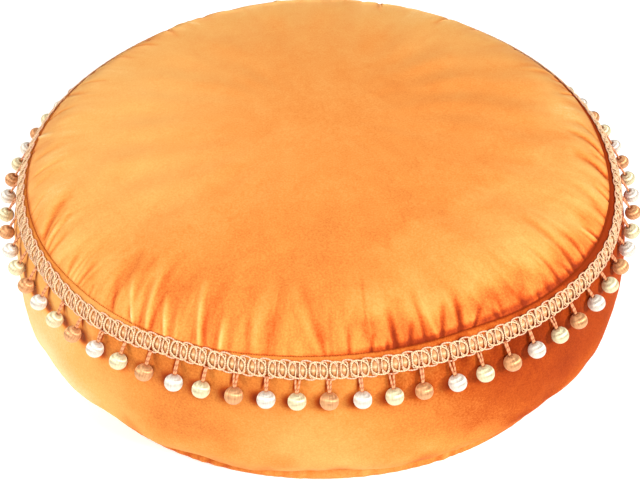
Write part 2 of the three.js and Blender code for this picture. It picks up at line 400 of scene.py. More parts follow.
def bead_shade(tree, place):
    """How much painted shadow darkens the wall's pile behind each bead and beside its loop, from 0
    to 1.
    """
    calc = partial(calculate, tree)
    beads_per_radian = BEAD_COUNT / (2 * math.pi)
    spacing = BEAD_RING_RADIUS / beads_per_radian
    at = node(tree, "ShaderNodeSeparateXYZ", Vector=place)
    x, y = (calc("SUBTRACT", at.outputs[k], float(SHIFT[k] * MM)) for k in (0, 1))
    turned = calc("ARCTAN2", y, x)
    start = 0.5 - FIRST_BEAD_ANGLE * beads_per_radian
    count = calc("MULTIPLY_ADD", turned, beads_per_radian, start)
    above = calc("MULTIPLY_ADD", at.outputs["Z"], 1 / MM, -BEAD_FOOT_HEIGHT)
    aside = calc("MAXIMUM", calc("MULTIPLY_ADD", at.outputs["X"], *ASIDE_FRONT), ASIDE_LEAST)
    left = calc("MULTIPLY_ADD", at.outputs["X"], *ASIDE_LEFT)
    aside = calc("MAXIMUM", aside, calc("MINIMUM", left, 0.0))
    dark = 0.0
    for shade in BEAD_SHADES:
        share = calc("MULTIPLY_ADD", above, shade["slant"], shade["share"])
        moved = calc("MULTIPLY_ADD", calc("MULTIPLY", aside, share), -1 / spacing, count)
        wide = calc("SUBTRACT", calc("FRACT", moved), 0.5)
        wide = calc("MULTIPLY", wide, spacing / shade["half_width"])
        tall = calc("SUBTRACT", above, shade["height"])
        tall = calc("DIVIDE", tall, shade["half_height"])
        square = calc("MULTIPLY_ADD", tall, tall, calc("MULTIPLY", wide, wide))
        spot = calc("EXPONENT", calc("MULTIPLY", square, -1.0))
        dark = calc("MAXIMUM", calc("MULTIPLY", spot, shade["amount"]), dark)
    return calc("MINIMUM", dark, 1.0)


# The velvet's mottling: noises by their scale per metre, and how far each moves the tone.
MOTTLE = ("scale", "detail", "roughness", "distortion", "amount")
MOTTLES = named_rows(MOTTLE, (
    (9.0, 4.0, 0.6, 1.2, 0.7),
    (55.0, 4.0, 0.6, 0.6, 0.6),
    (700.0, 2.0, 0.7, 0.0, 1.5),
))
STREAKS_ROUND, STREAKS_OUT = 17.0, 16.0  # how fine the streaks are round the pouf and outwards
STREAK_AMOUNT = 2.4
PILE_SCALE, PILE_DEPTH = 1400.0, 0.0004  # per metre, and in metres


def velvet_material(name, tones, lean, nap, sheen, sheen_tint, specular):
    """Short pile that leans by a share of its length towards one side or, where the nap is None,
    round the pouf. That is the wall's, which gets painted shadows of the beads. The colour follows
    the mesh's own tone, which holds painted light and shade."""
    material, tree, shader = new_material(name)
    calc, vectors = partial(calculate, tree), partial(calculate, tree, kind="ShaderNodeVectorMath")
    place = tree.nodes.new("ShaderNodeTexCoord").outputs["Object"]
    on_wall = nap is None

    # streaks that run out from the middle, where the mesh says there are any
    flat = vectors("MULTIPLY", place, (1, 1, 0))
    heading = vectors("SCALE", vectors("NORMALIZE", flat), Scale=STREAKS_ROUND)
    outward = calc("MULTIPLY", vectors("LENGTH", flat), STREAKS_OUT)
    outward = node(tree, "ShaderNodeCombineXYZ", Z=outward).outputs["Vector"]
    polar = vectors("ADD", heading, outward)
    streaks = noise(tree, polar, 1.0, 4.0, Roughness=0.62, Distortion=0.5)
    tone, streaky = (
        node(tree, "ShaderNodeAttribute", attribute_name=attribute).outputs["Fac"]
        for attribute in ("tone", "streaky")
    )
    drawn = calc("MULTIPLY", calc("SUBTRACT", streaks, 0.5), streaky)
    total = calc("MULTIPLY_ADD", drawn, STREAK_AMOUNT, tone)
    for m in MOTTLES:
        grain = dict(Roughness=m["roughness"], Distortion=m["distortion"])
        mottle = noise(tree, place, m["scale"], m["detail"], **grain)
        total = calc("MULTIPLY_ADD", calc("SUBTRACT", mottle, 0.5), m["amount"], total)
    # painted shadow of the beads and their loops, drawn towards the darkest tone
    if on_wall:
        room = calc("SUBTRACT", -TONE_REACH, total)
        total = calc("MULTIPLY_ADD", bead_shade(tree, place), room, total)
    fac = calc("MULTIPLY_ADD", total, 0.5 / TONE_REACH, 0.5)
    stops = [(0.5 + 0.5 * t / TONE_REACH, colour) for t, colour in tones]

    if on_wall:
        nap = node(tree, "ShaderNodeTangent", direction_type="RADIAL", axis="Z").outputs["Tangent"]
    normal = raised(tree, noise(tree, place, PILE_SCALE, 2.0), 0.25, PILE_DEPTH)
    leaning = vectors("ADD", normal, vectors("SCALE", nap, Scale=lean))
    look = {
        "Base Color": ramp(tree, stops, fac),
        "Normal": vectors("NORMALIZE", leaning),
        "Roughness": 0.62,
        "Specular IOR Level": specular,
        "Sheen Weight": sheen,
        "Sheen Roughness": 0.32,
        "Sheen Tint": (*sheen_tint, 1),
    }
    fill(tree, shader, look)
    return material


def uv_parts(tree):
    """A tube's own coordinates: the pair, round the tube, and along it."""
    uv = node(tree, "ShaderNodeUVMap", uv_map="along").outputs["UV"]
    parts = node(tree, "ShaderNodeSeparateXYZ", Vector=uv)
    return uv, parts.outputs["X"], parts.outputs["Y"]


def thread_noise(tree, uv, around, along):
    """Unevenness drawn out along parallel threads."""
    stretch = node(tree, "ShaderNodeMapping", Scale=(around, along, 1.0), Vector=uv)
    return noise(tree, stretch.outputs["Vector"], 1.0, 2.0)


def threads_along(tree):
    return node(tree, "ShaderNodeTangent", direction_type="UV_MAP", uv_map="along").outputs[0]


def cord_material(name, dark, light, twists, roughness=0.42, specular=0.5):
    """A plied satin cord, of strands that slant round it, darker where they meet: painted shade in
    the grooves between them.
    """
    material, tree, shader = new_material(name)
    _, around, along = uv_parts(tree)
    slant = calculate(tree, "MULTIPLY_ADD", along, twists, around)
    strands = calculate(tree, "PINGPONG", slant, 0.5)
    look = {
        "Base Color": ramp(tree, [(0.0, dark), (0.34, light), (1.0, light)], strands),
        "Normal": raised(tree, strands, 0.5, 0.0002),
        "Roughness": roughness,
        "Specular IOR Level": specular,
    }
    fill(tree, shader, look)
    return material


def core_material(name, ends, middle):
    """A bundle of upright satin threads, whose middle stands proud and carries a painted glint,
    pale in its colour.
    """
    material, tree, shader = new_material(name)
    uv, _, along = uv_parts(tree)
    unevenness = calculate(tree, "SUBTRACT", thread_noise(tree, uv, 14.0, 2.0), 0.5)
    mirrored = calculate(tree, "PINGPONG", along, 0.5)
    height = calculate(tree, "MULTIPLY_ADD", unevenness, 0.25, mirrored)
    half_way = tuple(np.mean([ends, middle], 0))
    look = {
        # the pale middle colour is a painted glint
        "Base Color": ramp(tree, [(0.33, ends), (0.445, half_way), (0.485, middle)], height),
        "Roughness": 0.5,
        "Specular IOR Level": 0.22,
        "Anisotropic": 0.8,
        "Tangent": threads_along(tree),
    }
    fill(tree, shader, look)
    return material


def thread_material(name, base, deep):
    """Satin thread wound over a bead from pole to pole."""
    material, tree, shader = new_material(name)
    threads = thread_noise(tree, uv_parts(tree)[0], 80.0, 1.5)
    look = {
        "Base Color": ramp(tree, [(0.32, deep), (0.58, base)], threads),
        "Normal": raised(tree, threads, 0.4, 0.00012),
        "Roughness": 0.5,
        "Metallic": 0.6,
        "Anisotropic": 0.9,
        "Tangent": threads_along(tree),
    }
    fill(tree, shader, look)
    return material


TOP_VELVET = velvet_material(
    "top_velvet", TOP_TONES, lean=0.3, nap=(-0.5, 0.6, 0.0),
    sheen=0.45, sheen_tint=(1.0, 0.58, 0.2), specular=0.08,
)
WALL_VELVET = velvet_material(
    "wall_velvet", WALL_TONES, lean=-0.45, nap=None,
    sheen=0.25, sheen_tint=(1.0, 0.38, 0.06), specular=0.03,
)
CREAM_CORD = cord_material("cream_cord", (0.5, 0.28, 0.14), (0.82, 0.59, 0.36), 26.0)
PINK_CORD = cord_material("pink_cord", (0.52, 0.25, 0.14), (0.8, 0.5, 0.33), 26.0)
OVAL_CORD = cord_material("oval_cord", (0.5, 0.26, 0.12), (0.8, 0.55, 0.33), 14.0)
SLIT_THREAD = cord_material("slit_thread", (0.38, 0.15, 0.06), (0.6, 0.29, 0.13), 6.0)
CORE_THREADS = core_material("core_threads", (0.56, 0.25, 0.09), (0.76, 0.54, 0.31))
HANGER_CORD = cord_material("hanger_cord", (0.4, 0.11, 0.04), (0.72, 0.32, 0.15), 3.5, 0.5, 0.25)
STITCH_THREAD = cord_material("stitch_thread", (0.2, 0.03, 0.004), (0.3, 0.06, 0.01), 1.0, 1.0, 0)
BEAD_THREADS = {
    "cream_beads": thread_material("cream_thread", (0.81, 0.71, 0.47), (0.6, 0.5, 0.28)),
    "copper_beads": thread_material("copper_thread", (0.74, 0.39, 0.18), (0.46, 0.18, 0.07)),
    "white_beads": thread_material("white_thread", (0.81, 0.74, 0.65), (0.64, 0.56, 0.46)),
}

# Folds read from the photograph: angles from the left (-X) through the front in degrees, at the end
# near the seam and at the inner end, with those ends' reaches from the seam and the half width in
# millimetres, and the depth (negative for a raised ridge).
FOLD = ("outer_angle", "outer_reach", "inner_angle", "inner_reach", "half_width", "depth")
FOLDS = named_rows(FOLD, (
    (13.4, 13, 12.2, 40, 2.0, 0.8),
    (8.5, 10, 6.5, 40, 4.0, 0.4),
    (17.0, 12, 15.5, 28, 3.0, 0.4),
    (22.8, 4, 20.8, 20, 1.6, 0.7),
    (25.5, 4, 24.0, 14, 1.6, 0.5),
    (30.5, 5, 23.8, 42, 5.5, 1.5),
    (31.8, 3, 28.3, 32, 1.5, 1.0),
    (33.2, 4, 29.8, 36, 2.4, 1.2),
    (34.6, 3, 34.3, 26, 2.2, 0.8),
    (38.2, 2, 38.0, 10, 1.4, 0.5),
    (40.8, 3, 40.0, 20, 2.4, 1.1),
    (42.1, 3, 41.8, 28, 1.4, 0.8),
    (43.2, 3, 42.6, 32, 1.4, 0.8),
    (44.2, 3, 44.6, 24, 2.2, 1.4),
    (45.2, 3, 46.4, 24, 1.4, 0.9),
    (47.4, 1, 47.2, 10, 1.4, 0.7),
    (48.6, 1, 48.6, 8, 1.4, 0.5),
    (52.0, 3, 51.0, 50, 6.5, 0.6),
    (52.8, 3, 51.2, 20, 2.4, 1.0),
    (56.2, 4, 54.5, 48, 3.0, 0.6),
    (58.8, 3, 56.8, 30, 2.2, 0.8),
    (61.0, 4, 60.4, 34, 2.2, 0.7),
    (64.6, 2, 63.6, 26, 2.2, 0.5),
    (70.8, 2, 68.6, 34, 2.4, 0.55),
    (72.4, 3, 72.2, 30, 2.0, 0.5),
    (75.0, 3, 74.5, 18, 2.2, 0.35),
    (78.0, 3, 77.0, 28, 2.4, 0.45),
    (81.2, 2, 81.8, 32, 2.4, 0.25),
    (84.6, 2, 84.2, 10, 2.0, 0.3),
    (90.4, 2, 85.8, 56, 4.0, 0.65),
    (91.6, 2, 91.4, 14, 2.0, 0.6),
    (94.4, 3, 94.5, 22, 2.2, 1.1),
    (97.7, 22, 98.8, 62, 1.3, 0.6),
    (98.0, 1, 98.5, 12, 1.7, 1.3),
    (100.6, 1, 100.9, 8, 1.5, 1.1),
    (102.0, 1, 101.9, 29, 2.5, 1.9),
    (104.3, 1, 105.6, 17, 2.2, 1.6),
    (107.0, 1, 107.5, 42, 2.2, 1.2),
    (110.0, 2, 112.2, 26, 2.2, 1.6),
    (113.2, 2, 115.4, 34, 2.8, 1.7),
    (115.8, 1, 118.4, 14, 1.8, 1.7),
    (120.2, 1, 119.6, 9, 2.4, 1.0),
    (121.3, 3, 121.6, 24, 2.5, 0.7),
    (125.6, 1, 125.4, 12, 2.0, 0.9),
    (129.0, 1, 129.2, 8, 2.4, 1.0),
    (131.4, 1, 131.2, 10, 1.8, 0.6),
    (134.3, 2, 133.8, 38, 2.2, 1.1),
    (137.1, 2, 136.3, 15, 2.4, 1.3),
    (138.7, 2, 139.7, 56, 3.4, 1.4),
    (142.0, 3, 142.4, 24, 2.5, 1.2),
    (146.2, 2, 145.4, 18, 1.5, 1.0),
    (147.8, 2, 147.0, 17, 2.2, 1.3),
    (151.0, 2, 150.8, 12, 2.0, 0.6),
    (153.4, 3, 153.6, 18, 2.8, 0.8),
    (155.0, 14, 156.2, 38, 4.0, 0.6),
    (158.2, 3, 158.8, 20, 2.6, 1.6),
    (160.6, 2, 161.0, 12, 1.4, 0.9),
    (163.0, 4, 163.5, 14, 1.4, 0.6),
    (164.2, 5, 167.0, 38, 5.0, 2.2),
    (167.6, 5, 169.0, 20, 1.6, 0.7),
    (170.6, 5, 175.4, 40, 4.4, 2.0),
    (175.6, 6, 180.5, 28, 3.6, 0.9),
    (57.4, 2, 53.1, 28, 1.9, -1.6),
    (60.2, 3, 57.3, 42, 2.4, -1.5),
    (63.7, 2, 61.2, 26, 1.9, -1.7),
    (65.6, 3, 65.0, 18, 1.5, -0.7),
    (69.7, 3, 66.8, 44, 2.3, -1.5),
    (73.4, 2, 73.0, 20, 2.0, -1.4),
    (79.0, 8, 79.0, 30, 3.0, -0.4),
    (89.0, 6, 83.2, 64, 4.6, -0.5),
    (109.0, 3, 108.2, 28, 2.2, -0.8),
    (132.9, 3, 132.6, 18, 1.8, -0.6),
    (146.9, 3, 146.2, 18, 1.5, -0.8),
    (168.6, 6, 171.5, 24, 2.2, -0.5),
))


# The folds out of sight, round the back: where they start and end, how many reach far or stand
# proud, their slant, and the ranges of their reach, half width, depth and spacing.
BACK_START, BACK_END = 192.0, 366
FAR_SHARE, RAISED_SHARE, SLANT = 0.35, 0.3, 0.07
FAR_REACH, NEAR_REACH = (24, 56), (9, 28)
BACK_HALF_WIDTH, BACK_DEPTH, BACK_SPACING = (1.6, 3.4), (0.6, 1.7), (2, 6.5)
BACK_OUTER_REACH = 2


def unseen_folds():
    """Folds like the ones in view, round the back, from a seeded draw."""
    draw = np.random.default_rng(7)
    made = []
    angle = BACK_START
    while angle < BACK_END:
        reach = draw.uniform(*(FAR_REACH if draw.random() < FAR_SHARE else NEAR_REACH))
        raised = draw.random() < RAISED_SHARE
        inner_angle = angle + draw.normal(0, SLANT) * reach
        half_width = draw.uniform(*BACK_HALF_WIDTH)
        depth = draw.uniform(*BACK_DEPTH) * (-1 if raised else 1)
        row = (angle, BACK_OUTER_REACH, inner_angle, reach, half_width, depth)
        made += named_rows(FOLD, (row,))
        angle += draw.uniform(*BACK_SPACING)
    return made


ALL_FOLDS = FOLDS + unseen_folds()
FOLD_OVERRUN = 3  # how far past its seam end a fold dies out
FOLD_WIDTH, FOLD_WIDENING = 0.65, 0.6  # shares of its half width at the seam end, and further in
FOLD_FADE, FOLD_FILL = 0.9, 0.6  # how its depth falls off towards the inner end
# How deep the middle of a fold or a tuck is, how high its shoulders are, and how much wider.
FOLD_SECTION, TUCK_SECTION, SHOULDER_WIDTH = (1.25, 0.3), (1.2, 0.4), 2.2


def across_fold(x, deep, shoulder):
    """A fold's section, with a slight shoulder on either side."""
    return deep * bell(x) - shoulder * bell(x / SHOULDER_WIDTH)


def fold_relief(theta, s):
    """How far the folds press the top panel in at each angle and arc length from the seam."""
    radius = section(s)[0]
    relief = np.zeros(np.broadcast(theta, s).shape)
    for f in ALL_FOLDS:
        span = f["inner_reach"] - f["outer_reach"]
        t = (-s - f["outer_reach"]) / span  # 0 at the seam end, 1 at the inner end
        inward = np.clip(t, 0, 1)
        middle = 180 + f["outer_angle"] + (f["inner_angle"] - f["outer_angle"]) * t
        half_width = f["half_width"] * (FOLD_WIDTH + FOLD_WIDENING * inward)
        x = np.radians(turn_between(np.degrees(theta), middle)) * radius / half_width
        fading = (1 - inward) ** FOLD_FADE * (1 + FOLD_FILL * inward)
        ends = np.where(t < 0, bell(t * span / FOLD_OVERRUN), fading)
        relief -= f["depth"] * ends * across_fold(x, *FOLD_SECTION)
    return np.where(s < 0, relief, 0)


WAVES = ("waves", "seed", "most", "climb")
TOP_SWELL, WALL_SWELL, FOOT_SWELL, PATCH_TURN, PATCH_SHIFT, WALL_SHADE_TURN = named_rows(WAVES, (
    (9, 11, 26, 0.07),
    (12, 12, 26, 0.07),
    (5, 21, 26, 0.07),
    (6, 31, 18, 0.12),
    (10, 32, 90, 0.03),
    (8, 41, 22, 0.09),
))


def slow_waves(theta, s, waves, seed, most, climb):
    """A sum of slow waves round the pouf, fewer than most in a turn, that climb its section. It
    lies between about -1 and 1."""
    draw = np.random.default_rng(seed)
    total = 0
    for _ in range(waves):
        around = draw.integers(2, most)
        along = draw.uniform(-climb, climb)
        wave = np.cos(around * theta + along * s + draw.uniform(0, 6.3))
        total = total + wave / math.sqrt(waves)
    return total


# The cover settling over its filling. A coarse skin, held at its two seams and cut a little too
# large, is blown up by Blender's cloth, and gathers by itself between the folds it starts with.
SETTLE_BANDS = (
    (12 - SEAM_ARC, 48 - SEAM_ARC, 12, 40),
    (48 - SEAM_ARC, 96 - SEAM_ARC, 9, 80),
    (96 - SEAM_ARC, -60, 6.5, 160),
    (-60, 0, 5, 320),
    (0, FOOT_SEAM, 6, 320),
    (FOOT_SEAM, FOOT_SEAM + 1, 1, 320),
)
SETTLE_FRAMES = 20
SETTLE_REACH = 60  # the gathers die out this far in from the seam
SETTLE_SHRINK = -0.014  # a negative shrinkage lets the cloth grow
SETTLE_WAVES = 20  # waves round the pouf that are slower than this are left to the form
SETTLE_CAP = 2.4
SETTLE_FOLDS = 1.6  # the skin starts with the folds made this much deeper
CLOTH = dict(
    quality=5, mass=0.3, air_damping=2, use_pressure=True, uniform_pressure_force=4,
    tension_stiffness=20, compression_stiffness=20, shear_stiffness=8, bending_stiffness=2.0,
    shrink_min=SETTLE_SHRINK, shrink_max=SETTLE_SHRINK, vertex_group_mass="held",
)


def slow_part(values, reach):
    """The values averaged over a reach of neighbours round the pouf, twice."""
    for _ in range(2):
        closed = np.concatenate([values[-reach:], values, values[:reach]])
        values = np.convolve(closed, np.ones(2 * reach + 1) / (2 * reach + 1), "valid")
    return values


def settled_cover():
    """Arc lengths of the coarse rows, and each row's relief once the cover has settled."""
    rows = rows_between(SETTLE_BANDS)
    rings = []
    for s, count in rows:
        theta, place = angles_round(count), np.full(count, s)
        rings.append(surface(theta, place, SETTLE_FOLDS * fold_relief(theta, place)))
    start = np.concatenate([rings[0].mean(0)[None], *rings])
    faces = skin_faces(rows)
    skin = mesh_from("settling", start, faces, TOP_VELVET)
    held = skin.vertex_groups.new(name="held")
    first = 1
    for s, count in rows:
        if s in (0, FOOT_SEAM):
            held.add(list(range(first, first + count)), 1.0, "REPLACE")
        first += count
    cloth = skin.modifiers.new("cloth", "CLOTH")
    cloth.collision_settings.use_collision = False
    for setting, value in CLOTH.items():
        setattr(cloth.settings, setting, value)
    cloth.settings.effector_weights.gravity = 0
    scene = bpy.context.scene
    for number in range(1, SETTLE_FRAMES + 1):
        scene.frame_set(number)
    settled = skin.evaluated_get(bpy.context.evaluated_depsgraph_get()).to_mesh()
    end = np.empty(3 * len(start))
    settled.vertices.foreach_get("co", end)
    moved = end.reshape(-1, 3) / MM - start
    bpy.data.objects.remove(skin)
    scene.frame_set(1)
    reliefs, first = [], 1
    for s, count in rows:
        outward = normals_at(angles_round(count), np.full(count, s))
        relief = (moved[first : first + count] * outward).sum(1)
        relief = softened(relief - slow_part(relief, count // SETTLE_WAVES))
        reliefs.append(SETTLE_CAP * np.tanh(relief / SETTLE_CAP))
        first += count
    return np.array([s for s, _ in rows]), reliefs


def settled_relief(cover, theta, s):
    """The settled cover's relief on one row of points at arc length s."""
    if cover is None:
        return 0 * theta
    places, reliefs = cover
    if s <= places[0] or s >= places[-1]:
        return 0 * theta
    after = int(np.searchsorted(places, s))
    mix = (s - places[after - 1]) / (places[after] - places[after - 1])
    before, behind = (
        np.interp(theta, 2 * np.pi * np.arange(len(r) + 1) / len(r), [*r, r[0]])
        for r in reliefs[after - 1 : after + 1]
    )
    return (1 - mix) * before + mix * behind


# The velvet body
BODY_BANDS = (
    (4 - SEAM_ARC, 36 - SEAM_ARC, 4, 75),
    (36 - SEAM_ARC, 76 - SEAM_ARC, 4, 150),
    (76 - SEAM_ARC, -100, 3.6, 300),
    (-100, -50, 2.7, 600),
    (-50, -6, 2.1, 1200),
    (-6, -1.5, 1.1, 1200),
    (-1.5, 1.5, 0.6, 1200),
    (1.5, 6, 1.1, 1200),
    (6, FOOT_SEAM - 18, 3.6, 600),
    (FOOT_SEAM - 18, FOOT_SEAM - 2, 2, 600),
    (FOOT_SEAM - 2, ROLL_END, 1.1, 600),
    (ROLL_END, ROLL_END + 20, 4, 300),
    (ROLL_END + 20, ROLL_END + 120, 9, 150),
    (ROLL_END + 120, UNDER_END - 6, 12, 75),
)
SEAM_PULL = 16  # how far from the seam its wandering draws the cloth along
# Small puckers in the wall, by their seen angle and their reach down from the top seam.
TUCK = ("angle", "reach", "half_width", "depth")
TUCKS = named_rows(TUCK, (
    (96, 24, 3, 0.9),
    (104.5, 32, 4, 1.3),
    (109, 24, 3, 1.0),
    (112.5, 38, 4.5, 1.6),
    (118, 30, 4, 1.2),
    (124, 26, 3.5, 1.0),
    (131, 34, 4, 1.1),
    (66, 26, 4, 0.7),
    (52, 30, 4, 0.8),
    (38, 28, 4, 0.7),
    (160, 30, 4, 1.0),
    (195, 28, 4, 1.0),
    (231, 32, 4, 1.2),
    (262, 26, 4, 0.9),
    (305, 30, 4, 1.1),
    (338, 26, 4, 0.8),
))
TUCK_FADE, TUCK_START, TUCK_RISE = 1.6, 1, 5


def tuck_relief(theta, s):
    relief = 0 * theta
    for t in TUCKS:
        x = np.radians(turn_between(seen_angle(theta), t["angle"])) * WALL_RADIUS / t["half_width"]
        relief -= t["depth"] * across_fold(x, *TUCK_SECTION) * bell(s / t["reach"] * TUCK_FADE)
    return np.where(s > TUCK_START, relief * step_up((s - TUCK_START) / TUCK_RISE), 0)


# Uneven gathers round the foot: sines that drift with a wandering sum of slower ones.
WANDER = ((1.9, 5, 1), (1.3, 13, 2), (0.8, 29, 0))  # size, waves and phase
GATHERS = ((0.6, 151, 2.2), (0.4, 89, -1.7))  # size, waves and drift
GATHER_STRENGTH, GATHER_CHANGE = 0.55, 0.45
ROLL_SLANT = 0.0016  # radians that the gathers turn by for each millimetre down the roll


def foot_gathers(theta):
    """The foot's gathers, between -1 and 1."""
    wander = sum(size * np.sin(waves * theta + phase) for size, waves, phase in WANDER)
    strength = GATHER_STRENGTH + GATHER_CHANGE * slow_waves(theta, 0, **FOOT_SWELL)
    return strength * sum(
        size * np.sin(waves * theta + drift * wander) for size, waves, drift in GATHERS
    )


def roll_gathers(theta, s):
    return foot_gathers(theta + ROLL_SLANT * (s - FOOT_SEAM))


# Shares of the settled cover's relief on top and on the wall, and of what then counts as folds.
TOP_SETTLED, WALL_SETTLED, FOLD_SETTLED = 0.6, 0.45, 0.5
FOLD_HEIGHT, SETTLED_HEIGHT = 0.85, 0.5
# Ridges and valleys along the seams: height, middle and half width.
TOP_VALLEY, TOP_RIDGE = (-1.0, 0.0, 0.6), (0.2, 1.8, 0.8)
FOOT_VALLEY = (-1.1, FOOT_SEAM, 1.1)
# How high the filling's slow unevenness is, and over which lengths it fades out: towards the seam
# and the middle on top, and from and to the seams on the wall.
TOP_UNEVEN, TOP_FADE = 0.8, (40, 160)
WALL_UNEVEN, WALL_FADE, WALL_START = 1.0, (30, 20), 16
FOOT_GATHER, FOOT_GATHER_REACH = 0.5, 10
ROLL_GATHER, ROLL_FADE = 0.4, (3, 5)


def body_relief(cover, theta, s):
    """The velvet's relief on a row of points, and the part that its folds and gathers make."""
    settled = settled_relief(cover, theta, s[0])
    if s[0] < 0:
        settled = TOP_SETTLED * settled * step_up(1 + s / SETTLE_REACH)
        folds = fold_relief(theta, s) + FOLD_SETTLED * settled
    else:
        settled = WALL_SETTLED * settled
        folds = tuck_relief(theta, s) + settled
    relief = FOLD_HEIGHT * folds + SETTLED_HEIGHT * settled
    # the top seam is a narrow valley, with a faint rolled ridge on the wall's side of it
    relief += bump_at(s, *TOP_RIDGE) + bump_at(s, *TOP_VALLEY)
    top = np.clip(-s / TOP_FADE[0], 0, 1) * np.clip((SEAM_ARC + s) / TOP_FADE[1], 0, 1) ** 2
    wall = np.clip((s - WALL_START) / WALL_FADE[0], 0, 1)
    wall = wall * np.clip((FOOT_SEAM - s) / WALL_FADE[1], 0, 1)
    swell = TOP_UNEVEN * top * slow_waves(theta, s, **TOP_SWELL)
    relief += swell + WALL_UNEVEN * wall * slow_waves(theta, s, **WALL_SWELL)
    # gathers that run up the wall from the foot seam, and slantwise round the roll
    on_roll = step_up((s - FOOT_SEAM) / ROLL_FADE[0]) * step_up((ROLL_END - s) / ROLL_FADE[1])
    near_foot = bell((s - FOOT_SEAM) / FOOT_GATHER_REACH) * (s < FOOT_SEAM)
    gathers = FOOT_GATHER * near_foot * foot_gathers(theta)
    relief += gathers + ROLL_GATHER * on_roll * roll_gathers(theta, s)
    return relief + bump_at(s, *FOOT_VALLEY), folds


# Painted light and shade on top, in patches, each with its middle and half widths in degrees and in
# shares of the seam's radius.
PATCH = ("angle", "half_angle", "share", "half_share", "tone")
TOP_PATCHES = named_rows(PATCH, (
    (8, 55, 0.68, 0.36, 0.5),
    (38, 28, 0.93, 0.1, -0.2),
    (270, 95, 0.85, 0.3, 0.3),
    (88, 42, 0.72, 0.3, -0.36),
    (68, 22, 0.9, 0.12, -0.42),
    (160, 55, 0.35, 0.3, -0.1),
    (112, 24, 0.965, 0.042, -0.75),
    (142, 11, 0.972, 0.045, -0.75),
    (182, 12, 0.88, 0.08, 0.5),
    (34, 18, 0.93, 0.07, 0.3),
    (205, 14, 0.93, 0.06, -0.3),
    (238, 24, 0.8, 0.16, 0.3),
    (268, 12, 0.95, 0.06, -0.4),
    (292, 20, 0.82, 0.12, 0.2),
    (322, 14, 0.94, 0.07, -0.3),
))
# Inner edge of the patch of painted sheen at the front right: degrees, and share of the seam's
# radius.
LIGHT_EDGE_ANGLE = (86, 90, 100, 112, 126, 139, 150, 164, 172)
LIGHT_EDGE_SHARE = (0.8, 0.73, 0.69, 0.645, 0.625, 0.626, 0.66, 0.74, 0.84)
LIGHT_TONE, LIGHT_FADE, LIGHT_RIM, LIGHT_RIM_FADE = 0.28, 0.05, 0.99, 0.09
LIGHT_LEAD = 0.4  # the share of its fade that lies inwards of the edge
LIGHT_START, LIGHT_END, LIGHT_END_FADE = 92, 176, 14  # degrees
TOP_TONE = 0.15
PATCH_WANDER, PATCH_STRAY = 2.2, 0.022  # degrees, and share of the seam's radius
# Painted shade in the cleft along the seam: at each angle its depth of tone, middle and half width.
CLEFT = smooth_round((
    (0, 1.8), (14, 1.6), (25, 1.2), (33, 0.4), (40, 0.0), (90, 0.1), (96, 0.8), (102, 1.3),
    (118, 1.4), (135, 1.3), (146, 2.2), (156, 1.5), (165, 2.0), (185, 1.9), (200, 1.0), (240, 0.7),
    (290, 1.2), (330, 0.8), (350, 1.8),
))
CLEFT_MIDDLE = smooth_round((
    (0, -1.4), (90, -1.2), (110, -1.6), (130, -2.2), (137, -0.8), (144, 0.2), (152, 2.0),
    (160, 1.0), (180, 0.0), (200, -1.0),
))
CLEFT_HALF = smooth_round((
    (0, 1.8), (90, 1.4), (110, 2.2), (130, 3.0), (144, 3.2), (156, 3.2), (170, 2.4),
))
# Painted light and shade on the narrow strip of wall between the seam and the braid: its tone.
STRIP_TONE = smooth_round((
    (0, -0.2), (40, 0.1), (47, 0.6), (55, 0.5), (60, 0.0), (78, 0.0), (88, -0.25), (97, -0.5),
    (104, -0.8), (111, -0.9), (117, -0.6), (123, -1.2), (140, -1.5), (185, -1.4), (230, -0.4),
    (300, 0),
))
# Painted light and shade on the roll round the foot: how much lighter it is than the wall above it.
ROLL_TONE = smooth_round((
    (0, -0.8), (50, -1.2), (65, -0.8), (80, -0.3), (95, -0.1), (110, 0.1), (125, 0.6),
    (140, 0.8), (180, 0.0), (270, -0.4),
))
# Painted light and shade round the wall, lighter on its left and darker on its right as the velvet
# catches the light: the tone low down, half way up and high up, and the height and the reach over
# which each of the last two takes over.
WALL_SHADE_LEVELS = ("angle", "low", "middle", "high")
WALL_LIGHT_AND_SHADE = named_rows(WALL_SHADE_LEVELS, (
    (-60, 0.5, 0.3, 0.2),
    (-15, 1.4, 1.1, 0.7),
    (15, 1.9, 1.6, 0.9),
    (32, 1.9, 1.6, 0.9),
    (42, 1.8, 1.2, 0.75),
    (50, 1.1, 0.65, 0.55),
    (57, 0.45, 0.1, -0.05),
    (65, 0.1, -0.25, -0.45),
    (73, 0.05, -0.2, -0.35),
    (80, 0.3, 0.2, -0.1),
    (88, 0.5, 0.45, 0.2),
    (96, 0.45, 0.1, -0.15),
    (103, 0.15, -0.35, -0.75),
    (110, -0.2, -0.7, -1.1),
    (118, -0.6, -1.0, -1.45),
    (126, -1.2, -1.5, -1.85),
    (134, -1.3, -1.7, -1.85),
    (142, -1.25, -1.55, -1.6),
    (150, -1.2, -1.55, -1.7),
    (185, -1.2, -1.4, -1.5),
    (225, -0.6, -0.8, -0.9),
    (262, 0.1, 0.0, -0.2),
    (300, 0.5, 0.3, 0.2),
))
MIDDLE_START, HIGH_START = (50, 30), (90, 25)
WALL_SHADE_WANDER = 2.5  # degrees
WALL_SHADE_SEAM = 300  # degrees beyond which an angle is counted from the other side of 0
# Lines of tone along the wall: how much, middle and half width. FOOT_LIP is a painted highlight on
# the wall's edge just above the foot seam, FOOT_LINE a painted shadow line at that seam, and
# SEAM_LINE a darker line at the top seam.
FOOT_LIP, FOOT_LINE = (0.4, FOOT_SEAM - 2.2, 1.6), (-0.7, FOOT_SEAM + 0.6, 0.9)
SEAM_LINE = (-0.8, 0.0, 0.5)
ROLL_GATHER_TONE = 0.5
